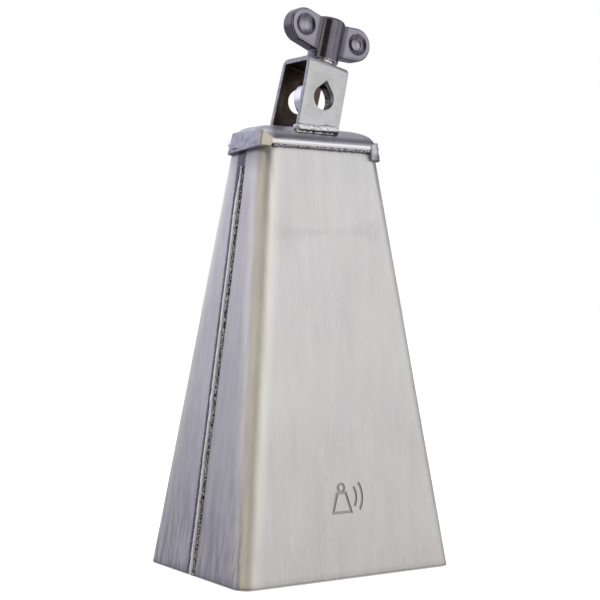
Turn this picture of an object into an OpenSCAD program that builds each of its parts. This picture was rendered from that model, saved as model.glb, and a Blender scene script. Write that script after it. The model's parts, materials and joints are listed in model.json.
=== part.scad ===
// Mounted cowbell: a welded sheet-steel bell with a rod clamp on its cap.
// Frame: origin at the centre of the mouth, in the plane of the rim. +Z points up to the
// cap and -Y is the wide front face. All sizes are in millimetres.

/* [Bell body] */
// Height of the sheet body, from the mouth to the cap
body_h = 200; // [170:1:230]
// Width of the mouth, left to right
mouth_w = 121; // [110:0.5:135]
// Depth of the mouth, front to back
mouth_d = 87.6; // [75:0.1:100]
// Width of the body under the cap
top_w = 68; // [66:0.5:70]
// Depth of the body under the cap
top_d = 33; // [31:0.5:34]
// Outside radius of the four upright corners
corner_r = 8; // [6:0.5:10]
// Thickness of the body sheet
sheet_t = 1.5; // [1:0.1:2]

/* [Cap] */
// Outside radius of the cap's corners, seen from above
cap_corner_r = 9.5; // [7:0.5:10]
// How far the lip of the cap overhangs the body
lip_out = 2; // [1.5:0.1:2.5]
// Height of the upright lip band
lip_h = 3.2; // [2.5:0.1:4]
// Height of the crown above the top of the body
crown_h = 11.1; // [10.5:0.1:11.4]
// Thickness of the pressed cap
cap_t = 2; // [1.5:0.1:2.5]

/* [Welds] */
// Width of the bead on the side seams
seam_w = 2.6; // [2:0.1:3.5]
// How far a seam bead stands proud of the sheet
seam_h = 1; // [0.6:0.1:1.4]
// Radius of the thin bead under the front and rear lips
lip_bead_r = 1.3; // [0.9:0.1:1.7]
// How far the end welds stand proud of the ends of the cap
end_weld_out = 0.7; // [0.4:0.1:1.2]
// Radius of the fillet bead at the feet of the clamp bracket
foot_bead_r = 2; // [1.5:0.1:2.5]

/* [Clamp bracket] */
// Lean of the whole clamp towards the right side, in degrees
lean = 12.5; // [0:0.5:15]
// Height of the clamp's datum above the top of the body
clamp_h = 12; // [12:0.1:13]
// Width of the bracket strap
strap_w = 23.4; // [21:0.2:26]
// Thickness of the bracket strap
strap_t = 2.5; // [2:0.1:3]
// Depth over both legs just under the bridge
strap_d = 23.6; // [23:0.2:26]
// How much further each leg stands out at its foot
leg_splay = 0.9; // [0:0.1:1.2]
// Height of the top of the bridge over the clamp's datum
bridge_z = 31.2; // [31:0.1:34]
// Outside bend radius of the strap
bend_r = 3.5; // [3:0.1:4.5]
// Radius of the rod hole in each leg
rod_r = 5.75; // [5:0.05:6]
// Height of the rod hole's centre over the clamp's datum
rod_z = 13.1; // [12.5:0.1:14]
// Distance from the rod hole's centre to the tip of its teardrop
tip_z = 8.7; // [7:0.1:10]

/* [Eye bolt] */
// Outside radius of the ring
ring_r = 10.2; // [10:0.1:10.4]
// Radius of the ring's bore
ring_bore_r = 8; // [7.6:0.05:8.1]
// Thickness of the ring, front to back
ring_t = 6.6; // [6:0.2:8]
// Radius of the threaded shank
shank_r = 3.9; // [3.4:0.05:3.95]
// Height of the end of the shank over the clamp's datum
shank_top_z = 42; // [38:0.5:43]
// Offset of the bolt's axis to the right of the bracket's centre
bolt_x = 0.6; // [0:0.1:0.7]
// Offset of the bolt's axis to the front of the bracket's centre
bolt_y = 3.4; // [0:0.1:3.6]

/* [Wing nut] */
// Radius of the barrel
barrel_r = 7.75; // [7:0.05:8.2]
// Height of the barrel
barrel_h = 21.8; // [20:0.2:23]
// Radius of each wing's lobe
lobe_r = 8.2; // [7.5:0.1:8.8]
// Distance from the nut's axis to the centre of each lobe
lobe_x = 15.6; // [14:0.1:16]
// Height of the lobe centres over the foot of the barrel
lobe_z = 14.2; // [13.5:0.1:15.5]
// Thickness of the wings
wing_t = 8.6; // [7:0.1:9]
// Depth of the round dimple in each wing face
dimple_depth = 1.6; // [1:0.1:2]

/* [Emblem] */
// Height of the engraved bell sign on the front face
emblem_h = 15; // [10:0.5:18]
// Height of the centre of the sign over the mouth
emblem_z = 37; // [30:1:60]
// Depth of the engraving
emblem_depth = 0.5; // [0.3:0.1:0.7]

/* [Hidden] */

corner_steps = 8;                // facets on each rounded corner
big = 400;                       // larger than the whole bell
side_lean = atan((mouth_w - top_w) / 2 / body_h);
front_lean = atan((mouth_d - top_d) / 2 / body_h);
cap_hw = top_w / 2 + lip_out;    // half width of the cap
cap_hd = top_d / 2 + lip_out;    // half depth of the cap
clamp_z = body_h + clamp_h;      // the clamp's datum, just over the crown
shank_hole_r = 4.5;              // clearance hole in the bridge
nut_bore_r = shank_r + 0.1;      // running clearance on the thread
nut_gap = 0.3;                   // between the bridge and the nut
nut_bore_h = 17;                 // depth of the nut's blind bore
nut_edge = 1.4;                  // rounding on the top edge of the barrel
collar_r = 5.6;                  // the nut bears on the bridge with a narrow collar
collar_h = 1;
leg_root = 9;                    // the legs are drawn this far below the datum, then trimmed
weld_gap = 6;                    // the welds stop short of the corners by this much

steel = [0.76, 0.76, 0.76];
weld_grey = [0.66, 0.67, 0.70];
bright = [0.82, 0.82, 0.83];
black_nickel = [0.26, 0.25, 0.27];

// Width and depth of the body at a height z over the mouth
function width_at(z) = mouth_w + (top_w - mouth_w) * z / body_h;
function depth_at(z) = mouth_d + (top_d - mouth_d) * z / body_h;

// One arc of points round (cx, cy) from angle a0 to angle a1
function arc(cx, cy, r, a0, a1, steps) =
    [for (i = [0:steps]) let (a = a0 + (a1 - a0) * i / steps) [cx + r * cos(a), cy + r * sin(a)]];

// The outline of a rounded rectangle, w by d, as a ring of points at height z
function ring(w, d, r, z) =
    let (x = w / 2 - r, y = d / 2 - r,
        flat = concat(arc(x, y, r, 0, 90, corner_steps), arc(-x, y, r, 90, 180, corner_steps),
            arc(-x, -y, r, 180, 270, corner_steps), arc(x, -y, r, 270, 360, corner_steps)))
    [for (p = flat) [p[0], p[1], z]];

// A closed solid through a list of rings, from the lowest to the highest
module ring_stack(rings) {
    n = len(rings[0]);
    last = (len(rings) - 1) * n;
    polyhedron(
        points = [for (r = rings) each r],
        faces = concat(
            [[for (i = [0:n - 1]) i]],
            [for (k = [0:len(rings) - 2]) for (i = [0:n - 1])
                [k * n + i, (k + 1) * n + i, (k + 1) * n + (i + 1) % n]],
            [for (k = [0:len(rings) - 2]) for (i = [0:n - 1])
                [k * n + i, (k + 1) * n + (i + 1) % n, k * n + (i + 1) % n]],
            [[for (i = [n - 1:-1:0]) last + i]]));
}

// The tapered body as one solid, its skin moved inwards by inset
module body_solid(inset, z0, z1) {
    ring_stack([for (z = [z0, z1])
        ring(width_at(z) - 2 * inset, depth_at(z) - 2 * inset, corner_r - inset, z)]);
}

// A generic bell sign: a tapered outline with a small loop on top, and two strokes of sound
module emblem_outline() {
    foot = emblem_h * 0.40;
    head = emblem_h * 0.20;
    tall = emblem_h * 0.68;
    line = emblem_h * 0.085;
    loop_r = emblem_h * 0.16;
    sweep = 32;                  // half angle of each stroke
    translate([-emblem_h * 0.23, 0]) {
        translate([0, -emblem_h / 2]) {
            difference() {
                polygon([[-foot, 0], [foot, 0], [head, tall], [-head, tall]]);
                polygon([[-foot + 1.3 * line, line], [foot - 1.3 * line, line],
                    [head - line, tall - line], [-head + line, tall - line]]);
            }
            translate([0, tall - line / 2 + loop_r])
                difference() {
                    circle(r = loop_r, $fn = 32);
                    circle(r = loop_r - line, $fn = 32);
                }
        }
        for (r = [emblem_h * 0.6, emblem_h * 0.83])
            polygon(concat(arc(0, 0, r, -sweep, sweep, 12), arc(0, 0, r - line, sweep, -sweep, 12)));
    }
}

// The bell sign as a cutter that reaches emblem_depth into the front face
module emblem_cutter() {
    translate([0, -depth_at(emblem_z) / 2, emblem_z])
        rotate([90 - front_lean, 0, 0])
            translate([0, 0, -emblem_depth]) linear_extrude(emblem_depth + 1) emblem_outline();
}

// One U-shaped half of the body; side is -1 for the front half and 1 for the rear half
module half_shell(side) {
    difference() {
        body_solid(0, 0, body_h);
        body_solid(sheet_t, -1, body_h + 1);
        translate([-big / 2, side > 0 ? -big : 0, -1]) cube([big, big, big]);
        if (side < 0) emblem_cutter();
    }
}

module front_shell() {
    color(steel) half_shell(-1);
}

module rear_shell() {
    color(steel) half_shell(1);
}

// Bead along the seam in the middle of one side
module seam_weld(side) {
    bead_r = (pow(seam_w / 2, 2) + pow(seam_h, 2)) / (2 * seam_h);
    run = body_h / cos(side_lean);
    color(bright)
        difference() {
            intersection() {
                translate([side * mouth_w / 2, 0, 0])
                    rotate([0, -side * side_lean, 0])
                        translate([side * (seam_h - bead_r), 0, -5])
                            cylinder(h = run + 5, r = bead_r, $fn = 48);
                translate([-big / 2, -big / 2, 0.6]) cube([big, big, body_h - 4]);
            }
            body_solid(0, -10, body_h + 10);
        }
}

module left_seam_weld() {
    seam_weld(-1);
}

module right_seam_weld() {
    seam_weld(1);
}

// The outside of the pressed cap: an upright lip, a hollow cove and a crown.
// Each row is [inset from the lip in X, inset in Y, corner radius, height over the body].
cap_rows = [
    [0.5, 0.5, cap_corner_r, 0],
    [0, 0, cap_corner_r, 0.8],
    [0, 0, cap_corner_r, lip_h - 0.9],
    [0.5, 0.6, cap_corner_r, lip_h],
    [1.0, 1.9, cap_corner_r, crown_h * 0.36],
    [1.5, 3.5, cap_corner_r, crown_h * 0.50],
    [2.4, 5.1, cap_corner_r, crown_h * 0.67],
    [4.5, 8.0, cap_corner_r * 0.95, crown_h * 0.83],
    [9, 11.5, cap_corner_r * 0.6, crown_h * 0.95],
    [16, 15.3, cap_corner_r * 0.22, crown_h]];

module cap_outside() {
    ring_stack([for (row = cap_rows)
        ring(2 * (cap_hw - row[0]), 2 * (cap_hd - row[1]), row[2], body_h + row[3])]);
}

// The hollow under the cap
module cap_inside() {
    open_w = top_w / 2 - sheet_t;
    open_d = top_d / 2 - sheet_t;
    ring_stack([
        ring(2 * open_w, 2 * open_d, corner_r - sheet_t, body_h - 1),
        ring(2 * open_w, 2 * open_d, corner_r - sheet_t, body_h + 1),
        ring(2 * (open_w - 1.5), 2 * (open_d - 5), 5, body_h + crown_h * 0.5),
        ring(2 * (open_w - 6), 2 * (open_d - 11), 2, body_h + crown_h - cap_t)]);
}

module top_cap() {
    color(steel)
        difference() {
            cap_outside();
            cap_inside();
        }
}

// Thin bead in the corner under the long lip; side is -1 for front and 1 for rear
module lip_weld(side) {
    half = top_w / 2 - corner_r - 1;
    color(weld_grey)
        difference() {
            translate([-half, side * (top_d / 2 + 0.2), body_h])
                rotate([0, 90, 0]) cylinder(h = 2 * half, r = lip_bead_r, $fn = 32);
            translate([-big / 2, -big / 2, body_h]) cube([big, big, big]);
            body_solid(0, body_h - 20, body_h + 20);
        }
}

module front_cap_weld() {
    lip_weld(-1);
}

module rear_cap_weld() {
    lip_weld(1);
}

// Thick ground weld that closes one end of the cap
module end_weld(side) {
    low_r = 1.8;
    high_r = 2.4;
    reach = cap_hw + end_weld_out;
    half = cap_hd - weld_gap;
    color(weld_grey)
        difference() {
            hull() {
                for (y = [-half, half]) {
                    translate([side * (reach - low_r - 0.4), y, body_h - 1.6])
                        sphere(r = low_r, $fn = 32);
                    translate([side * (reach - high_r), y, body_h + 2.2])
                        sphere(r = high_r, $fn = 32);
                }
            }
            cap_outside();
            body_solid(0, body_h - 20, body_h + 0.001);
        }
}

module left_cap_weld() {
    end_weld(-1);
}

module right_cap_weld() {
    end_weld(1);
}

// Puts its children in the clamp's own frame: origin at its datum over the crown, Z up the clamp
module clamp_frame() {
    translate([0, 0, clamp_z]) rotate([0, lean, 0]) children();
}

// The side outline of the strap, as [Y, Z] points, from its outer skin inwards by inset
function strap_outline(inset) =
    let (r = bend_r - inset, half = strap_d / 2 - inset, top = bridge_z - inset,
        foot_z = -leg_root, foot_y = half + leg_splay * (top - foot_z) / bridge_z)
    concat([[-foot_y, foot_z]],
        arc(-half + r, top - r, r, 180, 90, 8),
        arc(half - r, top - r, r, 90, 0, 8),
        [[foot_y, foot_z]]);

// Round hole with a pointed top, through both legs
module teardrop_hole() {
    touch = acos(rod_r / tip_z);
    translate([0, 0, rod_z]) rotate([90, 0, 0]) {
        cylinder(h = 60, r = rod_r, center = true, $fn = 96);
        linear_extrude(60, center = true)
            polygon([[0, tip_z], rod_r * [sin(touch), cos(touch)],
                [0, 0], rod_r * [-sin(touch), cos(touch)]]);
    }
}

// The space inside the strap's outer skin, or inside its inner skin when inset is strap_t
module strap_block(inset) {
    rotate([90, 0, 90]) linear_extrude(strap_w + inset, center = true) polygon(strap_outline(inset));
}

module clamp_bracket() {
    color(steel)
        difference() {
            clamp_frame()
                difference() {
                    strap_block(0);
                    strap_block(strap_t);
                    teardrop_hole();
                    translate([bolt_x, -bolt_y, bridge_z - 10])
                        cylinder(h = 20, r = shank_hole_r, $fn = 64);
                }
            cap_outside();
        }
}

// Fillet bead at the foot of one leg; side is -1 for front and 1 for rear
module foot_weld(side) {
    leg_y = strap_d / 2 + leg_splay;
    color(bright)
        difference() {
            translate([-strap_w / 2 + 0.3, side * (leg_y - 0.3), clamp_z - 2.6])
                rotate([0, 90, 0]) cylinder(h = strap_w - 1.2, r = foot_bead_r, $fn = 32);
            clamp_frame() strap_block(0);
            cap_outside();
        }
}

module front_foot_weld() {
    foot_weld(-1);
}

module rear_foot_weld() {
    foot_weld(1);
}

// The section of the ring, as [radius, half thickness] points with rounded outer edges
module ring_section() {
    round_r = 1.3;
    half = ring_t / 2;
    polygon(concat([[ring_bore_r, -half + 0.5], [ring_bore_r + 0.5, -half]],
        arc(ring_r - round_r, -half + round_r, round_r, -90, 0, 6),
        arc(ring_r - round_r, half - round_r, round_r, 0, 90, 6),
        [[ring_bore_r + 0.5, half], [ring_bore_r, half - 0.5]]));
}

module eye_bolt() {
    shank_foot = rod_z + ring_bore_r + 1;
    color(bright)
        clamp_frame()
            translate([bolt_x, -bolt_y, 0]) {
                translate([0, 0, rod_z])
                    rotate([90, 0, 0]) rotate_extrude($fn = 96) ring_section();
                translate([0, 0, shank_foot])
                    cylinder(h = shank_top_z - shank_foot, r = shank_r, $fn = 64);
            }
}

// The nut's long barrel, round on its top edge, with a bearing collar under it
module barrel() {
    rotate_extrude($fn = 96)
        polygon(concat([[0, 0], [collar_r, 0], [collar_r, collar_h],
                [barrel_r - 0.4, collar_h], [barrel_r, collar_h + 0.4]],
            arc(barrel_r - nut_edge, barrel_h - nut_edge, nut_edge, 0, 90, 6),
            [[0, barrel_h]]));
}

// One wing: a thick round lobe that tapers into the side of the barrel
module wing(side) {
    soft = 1.5;                  // rounding on the edges of the wing
    root_x = barrel_r * 0.68;    // the wing starts inside the barrel, clear of the bore
    root_low = 4.4;
    root_high = barrel_h - 1;
    dimple_r = lobe_r - 2.9;
    ball_r = (pow(dimple_r, 2) + pow(dimple_depth, 2)) / (2 * dimple_depth);
    difference() {
        hull() {
            translate([side * lobe_x, 0, lobe_z]) rotate([90, 0, 0]) {
                cylinder(h = wing_t, r = lobe_r - soft, center = true, $fn = 48);
                cylinder(h = wing_t - 2 * soft, r = lobe_r, center = true, $fn = 48);
            }
            translate([side * root_x - 0.5, -wing_t / 2, root_low + soft])
                cube([1, wing_t, root_high - root_low - 2 * soft]);
            translate([side * root_x - 0.5, -wing_t / 2 + soft, root_low])
                cube([1, wing_t - 2 * soft, root_high - root_low]);
        }
        for (face = [-1, 1])
            translate([side * lobe_x, face * (wing_t / 2 + ball_r - dimple_depth), lobe_z])
                sphere(r = ball_r, $fn = 64);
    }
}

module wing_nut() {
    color(black_nickel)
        clamp_frame()
            translate([bolt_x, -bolt_y, bridge_z + nut_gap])
                difference() {
                    union() {
                        barrel();
                        wing(-1);
                        wing(1);
                    }
                    translate([0, 0, -1]) cylinder(h = nut_bore_h + 1, r = nut_bore_r, $fn = 64);
                }
}

front_shell();
rear_shell();
left_seam_weld();
right_seam_weld();
top_cap();
front_cap_weld();
rear_cap_weld();
left_cap_weld();
right_cap_weld();
clamp_bracket();
front_foot_weld();
rear_foot_weld();
eye_bolt();
wing_nut();
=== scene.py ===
# %% [markdown]
# # A welded steel cowbell
#
# This bell is two bent half shells of brushed steel, joined by a weld bead down each side and
# closed by a pressed cap. A strap bracket leans over the cap. Inside it sits an eye bolt, and a
# black wing nut pulls the eye up to clamp the bell on a rod.
#
# The frame holds every size and every joint. Each visible piece below is a finer mesh of the
# CAD node that it stands for, made at the same place, so nothing has to be fitted afterwards.

import json
import math
import random

import bmesh
import bpy
from mathutils import Matrix, Vector


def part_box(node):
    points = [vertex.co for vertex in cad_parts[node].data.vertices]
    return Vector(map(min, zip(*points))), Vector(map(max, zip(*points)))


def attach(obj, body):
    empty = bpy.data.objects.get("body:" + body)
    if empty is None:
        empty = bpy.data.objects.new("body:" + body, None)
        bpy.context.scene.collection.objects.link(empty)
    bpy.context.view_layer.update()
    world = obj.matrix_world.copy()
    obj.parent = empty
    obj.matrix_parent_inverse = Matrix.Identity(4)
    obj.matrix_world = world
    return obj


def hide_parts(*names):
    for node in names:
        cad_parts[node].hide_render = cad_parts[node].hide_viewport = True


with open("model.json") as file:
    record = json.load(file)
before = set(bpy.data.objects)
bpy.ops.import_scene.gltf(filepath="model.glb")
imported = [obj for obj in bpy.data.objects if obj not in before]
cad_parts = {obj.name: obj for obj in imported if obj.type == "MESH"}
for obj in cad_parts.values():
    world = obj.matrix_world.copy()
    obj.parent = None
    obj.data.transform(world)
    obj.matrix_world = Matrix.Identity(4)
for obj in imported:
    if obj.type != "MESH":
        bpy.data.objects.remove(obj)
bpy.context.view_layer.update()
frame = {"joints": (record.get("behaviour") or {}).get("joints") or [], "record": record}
MM = 0.001

# %% [markdown]
# The main sizes come from the frame's nodes: the shells give the mouth and the height of the
# sheet, and the cap, the rod hole and the nut's axle give the rest.

# %% Sizes from the frame
shell_low, shell_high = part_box("front_shell")
cap_low, cap_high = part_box("top_cap")
body_height = shell_high.z
mouth_width = shell_high.x - shell_low.x
mouth_depth = -2 * shell_low.y
cap_width = cap_high.x - cap_low.x
cap_depth = cap_high.y - cap_low.y
LIP_OVERHANG = 2 * MM
top_width = cap_width - 2 * LIP_OVERHANG
top_depth = cap_depth - 2 * LIP_OVERHANG
CORNER_RADIUS = 8 * MM
SHEET_THICKNESS = 1.5 * MM
side_slope = (mouth_width - top_width) / 2 / body_height
face_slope = (mouth_depth - top_depth) / 2 / body_height
print("mouth", round(mouth_width / MM, 1), "x", round(mouth_depth / MM, 1), "mm, top",
      round(top_width / MM, 1), "x", round(top_depth / MM, 1), "mm")

# %% [markdown]
# The clamp leans to the right. Its own frame stands just over the crown of the cap, and its
# upright runs along the axle that the nut turns on. The rod hole gives its height. Bracket,
# bolt and nut are each modelled upright in that frame and tilted at the end, because upright
# numbers are easier to read than leaning ones.

# %% The clamp's own frame
joints = {joint["name"]: joint for joint in frame["joints"]}
axle = Vector(joints["wing_nut_turn"]["axis"]).normalized()
axle_point = Vector(joints["wing_nut_turn"]["pos_m"])
lean = math.atan2(axle.x, axle.z)
rod_mount = next(m for m in frame["record"]["mounts"] if m["name"] == "rod_clamp")
rod_radius = rod_mount["dims"]["r_mm"] * MM
ROD_HEIGHT = 13.1 * MM
BRIDGE_HEIGHT = 31.2 * MM
clamp_foot = Vector(rod_mount["pos_m"]) - axle * ROD_HEIGHT
to_clamp = Matrix.Translation(clamp_foot) @ Matrix.Rotation(lean, 4, "Y")
bolt_foot = to_clamp.inverted() @ axle_point
bolt_x, bolt_y = bolt_foot.x, bolt_foot.y
print("lean", round(math.degrees(lean), 2), "degrees, clamp foot at",
      [round(v / MM, 2) for v in clamp_foot], "bolt at", round(bolt_x / MM, 2),
      round(bolt_y / MM, 2))

# %% [markdown]
# ## Camera
#
# A product view of this kind is taken with a long lens, level with the middle of the object.
# The camera stands in front and to the left, and is turned a fraction of a degree about its
# own axis.

# %% Camera
CAMERA_TURN = math.radians(-34.207)
CAMERA_RISE = math.radians(0.578)
CAMERA_ROLL = math.radians(0.62)
CAMERA_DISTANCE = 693.2 * MM
CAMERA_LENS = 85.7
AIM_HEIGHT = 127.8 * MM
AIM_SIDE = -1.24 * MM
back = Vector((math.sin(CAMERA_TURN) * math.cos(CAMERA_RISE),
               -math.cos(CAMERA_TURN) * math.cos(CAMERA_RISE), math.sin(CAMERA_RISE)))
level = Vector((math.cos(CAMERA_TURN), math.sin(CAMERA_TURN), 0))
above = back.cross(level)
right = level * math.cos(CAMERA_ROLL) + above * math.sin(CAMERA_ROLL)
up = above * math.cos(CAMERA_ROLL) - level * math.sin(CAMERA_ROLL)

bpy.ops.object.camera_add()
camera = bpy.context.object
camera.matrix_world = Matrix((right, up, back)).transposed().to_4x4()
camera.location = right * AIM_SIDE + Vector((0, 0, AIM_HEIGHT)) + back * CAMERA_DISTANCE
camera.data.lens = CAMERA_LENS
camera.data.sensor_width = 36
camera.data.clip_start = 10 * MM
camera.data.clip_end = 20
bpy.context.scene.camera = camera
print("camera at", [round(v / MM) for v in camera.location], "mm")

# %% [markdown]
# ## Hand tools
#
# Every piece starts as a primitive and is shaped in edit mode. These helpers do what a hand
# does first: clear the selection, pick some faces, edges or points by where they are, and at
# the end put the object's origin back at the frame's origin.

# %% Hand tools
def only(piece):
    """Selects this piece alone and makes it the active one."""
    bpy.ops.object.select_all(action="DESELECT")
    piece.select_set(True)
    bpy.context.view_layer.objects.active = piece


def added(name):
    """Names the primitive just added, and applies its place, turn and size to its mesh."""
    piece = bpy.context.object
    piece.name = piece.data.name = name
    only(piece)
    bpy.ops.object.transform_apply(location=True, rotation=True, scale=True)
    return piece


def edit(piece):
    """Opens a piece in edit mode, with nothing of it selected."""
    only(piece)
    bpy.ops.object.mode_set(mode="EDIT")
    bpy.ops.mesh.select_all(action="DESELECT")


def leave_edit():
    """Goes back to object mode, which writes the edits into the mesh."""
    bpy.ops.object.mode_set(mode="OBJECT")


def pick_faces(piece, test):
    """Picks the faces for which test(middle, normal) is true."""
    bpy.ops.mesh.select_mode(type="FACE")
    bpy.ops.mesh.select_all(action="DESELECT")
    mesh = bmesh.from_edit_mesh(piece.data)
    for face in mesh.faces:
        face.select_set(bool(test(face.calc_center_median(), face.normal)))
    bmesh.update_edit_mesh(piece.data)


def pick_edges(piece, test):
    """Picks the edges for which test(middle, direction, length) is true."""
    bpy.ops.mesh.select_mode(type="EDGE")
    bpy.ops.mesh.select_all(action="DESELECT")
    mesh = bmesh.from_edit_mesh(piece.data)
    for edge in mesh.edges:
        start, end = (vert.co for vert in edge.verts)
        run = end - start
        if run.length > 0 and test((start + end) / 2, run.normalized(), run.length):
            edge.select_set(True)
    bmesh.update_edit_mesh(piece.data)


def pick_points(piece, test):
    """Picks the points for which test(place) is true."""
    bpy.ops.mesh.select_mode(type="VERT")
    bpy.ops.mesh.select_all(action="DESELECT")
    mesh = bmesh.from_edit_mesh(piece.data)
    for vert in mesh.verts:
        if test(vert.co):
            vert.select_set(True)
    mesh.select_flush_mode()
    bmesh.update_edit_mesh(piece.data)


# %% [markdown]
# A modifier could stay live to the end, but here each is applied as soon as it is added, so
# that the next step works on the mesh that is really there.

# %% Modifiers and joins
def modified(piece, kind, **settings):
    """Adds one modifier with these settings and applies it."""
    only(piece)
    modifier = piece.modifiers.new(kind.title(), kind)
    for key, value in settings.items():
        setattr(modifier, key, value)
    bpy.ops.object.modifier_apply(modifier=modifier.name)
    return piece


def smooth(piece, angle=35):
    """Shades a piece smooth, but for edges that are sharper than this angle in degrees."""
    only(piece)
    bpy.ops.object.shade_smooth_by_angle(angle=math.radians(angle))
    return piece


def outward(piece):
    """Merges doubled points and turns every face outwards."""
    edit(piece)
    bpy.ops.mesh.select_all(action="SELECT")
    bpy.ops.mesh.remove_doubles(threshold=0.005 * MM)
    bpy.ops.mesh.normals_make_consistent(inside=False)
    leave_edit()
    return piece


def joined(name, pieces):
    """Joins several meshes into one object."""
    bpy.ops.object.select_all(action="DESELECT")
    for piece in pieces:
        piece.select_set(True)
    bpy.context.view_layer.objects.active = pieces[0]
    bpy.ops.object.join()
    pieces[0].name = pieces[0].data.name = name
    return pieces[0]


def cut(piece, cutter, how="DIFFERENCE"):
    """Cuts piece with a closed cutter, or adds or keeps what they share, and removes the cutter."""
    modified(piece, "BOOLEAN", object=cutter, operation=how, solver="EXACT")
    bpy.data.objects.remove(cutter)
    return piece


def melted(piece, voxel):
    """Fuses everything in a mesh into one skin of small squares."""
    return modified(piece, "REMESH", mode="VOXEL", voxel_size=voxel)


def softened(piece, times):
    """Draws each point halfway to the middle of its neighbours, this many times."""
    return modified(piece, "SMOOTH", factor=0.5, iterations=times)


def edges_rounded(piece, width, segments, angle=50):
    """Rounds the edges that are sharper than this angle in degrees."""
    return modified(piece, "BEVEL", width=width, segments=segments, limit_method="ANGLE",
                    angle_limit=math.radians(angle))


def roughened(piece, size, strength, seed=0, middle=0.5, direction="NORMAL"):
    """Pushes the surface in and out by soft noise of this grain size."""
    noise = bpy.data.textures.new("lumps", "CLOUDS")
    noise.noise_scale = size
    noise.noise_depth = 2
    bpy.ops.object.empty_add(location=(seed * 0.173, seed * 0.091, seed * 0.137))
    shift = bpy.context.object
    modified(piece, "DISPLACE", texture=noise, strength=strength, mid_level=middle,
             direction=direction, texture_coords="OBJECT", texture_coords_object=shift)
    bpy.data.objects.remove(shift)
    return piece


def fitted(piece, body, slot, *nodes):
    """The piece rides on its body and stands for its CAD nodes; slot is not used."""
    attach(piece, body)
    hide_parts(*nodes)
    print(piece.name, len(piece.data.polygons), "faces,",
          [round(v / MM, 1) for v in piece.dimensions], "mm")


# %% [markdown]
# ## The two half shells
#
# Each half is one sheet bent into a U. It keeps its round corners, and its two cut edges meet
# the other half in the middle of each side. It could be drawn as a bent outline and lofted,
# but a block is shorter: a cube is tapered by shrinking its top, its four upright edges are
# rounded by a bevel, and a bisect halves it. The flat sides get rows and columns of faces,
# because a pressed sheet is never quite flat: a soft ripple of up to two tenths of a
# millimetre is what makes its reflections drift.

# %% Half shells
SHELL_COLUMNS = 14
SHELL_ROWS = 50
SHEET_RIPPLE = 0.2 * MM
SHEET_RIPPLE_SIZE = 50 * MM
EDGE_ROUNDING = 0.3 * MM
LONGEST_CORNER_EDGE = 3 * MM      # the short edges of the round corners are not split again


def bell_block(name):
    """The bell's outside as a solid: a tapered block with four round corners."""
    bpy.ops.object.select_all(action="DESELECT")
    bpy.ops.mesh.primitive_cube_add(size=1, location=(0, 0, body_height / 2),
                                    scale=(mouth_width, mouth_depth, body_height))
    block = added(name)
    edit(block)
    pick_faces(block, lambda at, normal: normal.z > 0.9)
    bpy.ops.transform.resize(value=(top_width / mouth_width, top_depth / mouth_depth, 1),
                             center_override=(0, 0, body_height))
    pick_edges(block, lambda at, along, length: abs(along.z) > 0.9)
    bpy.ops.mesh.bevel(offset=CORNER_RADIUS, segments=12, affect="EDGES")
    leave_edit()
    return block


def half_shell(name, front):
    """The front or the rear half of the body, as one bent sheet."""
    shell = bell_block(name)
    edit(shell)
    pick_faces(shell, lambda at, normal: abs(normal.z) > 0.9)
    bpy.ops.mesh.delete(type="FACE")
    bpy.ops.mesh.select_all(action="SELECT")
    bpy.ops.mesh.bisect(plane_co=(0, 0, 0), plane_no=(0, 1, 0), clear_outer=front,
                        clear_inner=not front)
    pick_edges(shell, lambda at, along, length: abs(along.z) < 0.5
               and length > LONGEST_CORNER_EDGE)
    bpy.ops.mesh.subdivide(number_cuts=SHELL_COLUMNS)
    pick_edges(shell, lambda at, along, length: abs(along.z) > 0.9)
    bpy.ops.mesh.subdivide(number_cuts=SHELL_ROWS)
    leave_edit()
    roughened(shell, SHEET_RIPPLE_SIZE, SHEET_RIPPLE, seed=3, middle=1)
    modified(shell, "SOLIDIFY", thickness=SHEET_THICKNESS, offset=-1)
    edit(shell)
    pick_points(shell, lambda at: at.z < 1 * MM)
    bpy.ops.transform.resize(value=(1, 1, 0), center_override=(0, 0, 0))
    leave_edit()
    return edges_rounded(shell, EDGE_ROUNDING, 2, angle=60)


front_shell = half_shell("front_half_shell", front=True)
rear_shell = half_shell("rear_half_shell", front=False)

# %% [markdown]
# A plain bell sign is engraved low on the front face. It could be a bump in the finish, but a
# real cut has a wall that catches the light from every side. The cutter is built flat, out of
# short blocks and rings, and laid into the face: a tapered outline, a loop on top, and two
# strokes of sound on the right.

# %% The engraved sign
SIGN_HEIGHT = 15 * MM
SIGN_MIDDLE = 37 * MM
SIGN_DEPTH = 0.5 * MM
SIGN_LINE = 1.3 * MM
SIGN_SHIFT = -3.45 * MM
# parts of the sign, as shares of its height
SIGN_FOOT, SIGN_HEAD, SIGN_TALL, SIGN_LOOP = 0.8, 0.4, 0.68, 0.16
SIGN_STROKES = (0.6, 0.83)
WEDGE_REACH = 1.3                 # the wedge that trims a stroke reaches past its ring
WEDGE_SPREAD = 1.25               # and opens this much for each unit of its length


def tapered_block(foot, head, tall):
    """A flat block, foot wide below and head wide above, standing on Z=0."""
    bpy.ops.mesh.primitive_cube_add(size=1, location=(0, 0, tall / 2),
                                    scale=(foot, 4 * SIGN_DEPTH, tall))
    block = added("block")
    edit(block)
    pick_faces(block, lambda at, normal: normal.z > 0.9)
    bpy.ops.transform.resize(value=(head / foot, 1, 1), center_override=(0, 0, tall))
    leave_edit()
    return block


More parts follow.
